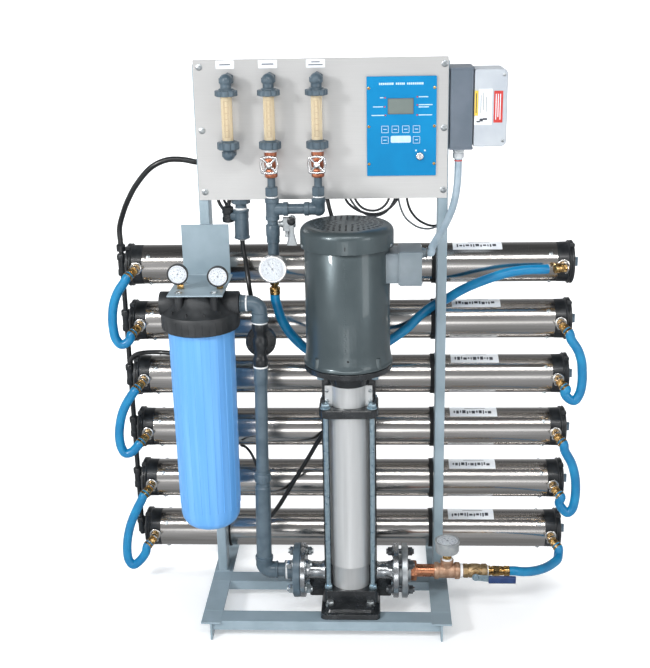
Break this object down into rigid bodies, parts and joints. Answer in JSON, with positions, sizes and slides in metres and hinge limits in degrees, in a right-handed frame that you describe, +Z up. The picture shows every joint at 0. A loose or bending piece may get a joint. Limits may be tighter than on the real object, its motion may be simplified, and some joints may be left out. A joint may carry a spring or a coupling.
{
  "type": "reverse osmosis unit",
  "caption": "Skid-mounted reverse osmosis unit: membrane housings on a frame, vertical pump, sediment filter, flowmeter panel, controller and blue hoses.",
  "frame": {"origin": "middle of the unit without its hoses, on the floor", "axes": "+X to the unit's right seen from the panel side, +Y to the back, +Z up"},
  "size_m": [1.228, 0.61, 1.415],
  "materials": {
    "frame_paint": "satin pale blue-grey enamel",
    "stainless": "brushed",
    "black_plastic": "semi-matte",
    "grey_pvc": "satin",
    "blue_hose": "satin",
    "blue_plastic": "satin moulded",
    "control_blue": "satin overlay",
    "brass": "worn",
    "cast_iron": "painted black",
    "motor_paint": "gloss grey-green",
    "white_media": "wound filter thread",
    "clear_tube": "clear amber tube",
    "chrome": "polished",
    "grey_plastic": "satin",
    "lever_blue": "dipped vinyl"
  },
  "bodies": {
    "unit": {"base_frame": "frame_paint", "controller": "control_blue", "coupling_guard": "stainless", "fan_cover": "motor_paint", "filter_bracket": "frame_paint", "filter_gauge_left": "chrome", "filter_gauge_right": "chrome", "filter_head": "black_plastic", "flowmeter_1": "clear_tube", "flowmeter_2": "clear_tube", "flowmeter_3": "clear_tube", "hose_concentrate": "blue_hose", "hose_left_1_2": "blue_hose", "hose_left_3_4": "blue_hose", "hose_left_5_6": "blue_hose", "hose_pump_outlet": "blue_hose", "hose_right_2_3": "blue_hose", "hose_right_4_5": "blue_hose", "housing_shell_1": "stainless", "housing_shell_2": "stainless", "housing_shell_3": "stainless", "housing_shell_4": "stainless", "housing_shell_5": "stainless", "housing_shell_6": "stainless", "inlet_elbow": "grey_pvc", "inlet_pipework": "grey_pvc", "inlet_valve": "black_plastic", "instrument_panel": "stainless", "left_upright": "frame_paint", "membrane_element_1": "black_plastic", "membrane_element_2": "black_plastic", "membrane_element_3": "black_plastic", "membrane_element_4": "black_plastic", "membrane_element_5": "black_plastic", "membrane_element_6": "black_plastic", "motor_body": "motor_paint", "motor_conduit": "grey_plastic", "motor_stool": "cast_iron", "outlet_pipework": "brass", "panel_pipework": "grey_pvc", "permeate_hose": "black_plastic", "permeate_manifold": "black_plastic", "permeate_outlet": "grey_pvc", "pump_base": "cast_iron", "pump_sleeve": "stainless", "right_upright": "frame_paint", "sensor_tube": "black_plastic", "starter_box": "grey_plastic", "starter_cover": "grey_plastic"},
    "pump_shaft": {"pump_rotor": "stainless"},
    "filter_bowl": {"filter_sump": "blue_plastic", "filter_cartridge": "white_media"},
    "float_1": {"flowmeter_float_1": "stainless"},
    "float_2": {"flowmeter_float_2": "stainless"},
    "float_3": {"flowmeter_float_3": "stainless"},
    "handwheel_1": {"valve_handwheel_1": "chrome"},
    "handwheel_2": {"valve_handwheel_2": "chrome"},
    "outlet_lever": {"outlet_valve_lever": "lever_blue"},
    "sample_lever": {"sample_valve_lever": "chrome"},
    "key_switch": {"controller_key_switch": "chrome"}
  },
  "joints": [
    {"name": "pump_shaft_turn", "type": "hinge", "parent": "unit", "child": "pump_shaft", "pos_m": [0.012, -0.177, 0.625], "axis": [0, 0, 1], "continuous": true},
    {"name": "filter_bowl_unscrew", "type": "hinge", "parent": "unit", "child": "filter_bowl", "pos_m": [-0.3445, -0.177, 0.7], "axis": [0, 0, 1], "range_deg": [-540, 0]},
    {"name": "float_1_rise", "type": "slide", "parent": "unit", "child": "float_1", "axis": [0, 0, 1], "range_m": [0, 0.075]},
    {"name": "float_2_rise", "type": "slide", "parent": "unit", "child": "float_2", "axis": [0, 0, 1], "range_m": [0, 0.075]},
    {"name": "float_3_rise", "type": "slide", "parent": "unit", "child": "float_3", "axis": [0, 0, 1], "range_m": [0, 0.075]},
    {"name": "handwheel_1_turn", "type": "hinge", "parent": "unit", "child": "handwheel_1", "pos_m": [-0.169, -0.151, 1.18], "axis": [0, -1, 0], "range_deg": [-360, 360]},
    {"name": "handwheel_2_turn", "type": "hinge", "parent": "unit", "child": "handwheel_2", "pos_m": [-0.057, -0.151, 1.18], "axis": [0, -1, 0], "range_deg": [-360, 360]},
    {"name": "outlet_lever_turn", "type": "hinge", "parent": "unit", "child": "outlet_lever", "pos_m": [0.3315, -0.209, 0.13], "axis": [0, 1, 0], "range_deg": [0, 90]},
    {"name": "sample_lever_turn", "type": "hinge", "parent": "unit", "child": "sample_lever", "pos_m": [-0.1215, -0.127, 1.043], "axis": [0, 1, 0], "range_deg": [0, 90]},
    {"name": "key_switch_turn", "type": "hinge", "parent": "unit", "child": "key_switch", "pos_m": [0.186, -0.061, 1.184], "axis": [0, -1, 0], "range_deg": [0, 90]}
  ]
}
